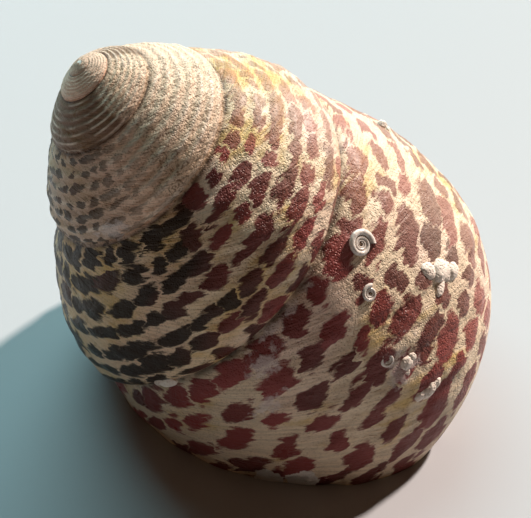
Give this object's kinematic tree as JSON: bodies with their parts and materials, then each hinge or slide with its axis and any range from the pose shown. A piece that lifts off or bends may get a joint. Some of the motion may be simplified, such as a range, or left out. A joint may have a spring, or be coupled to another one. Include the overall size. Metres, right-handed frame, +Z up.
{
  "type": "top shell",
  "caption": "Empty right-handed top shell of a small sea snail: a broad coiled cone with rounded whorls, dark spots on a cream ground, resting on its open mouth.",
  "frame": {"origin": "middle of the bounding box, on the plane of the mouth's rim, which the shell rests on", "axes": "+Z up from the surface it rests on, -X the side that the spire leans to, -Y the front, where the outer lip is"},
  "size_m": [0.026, 0.0238, 0.0226],
  "materials": {
    "shell": "satin limy surface, cream with rows of dark red-brown spots, worn pale tip"
  },
  "bodies": {
    "root": {"shell": "shell"}
  },
  "joints": []
}
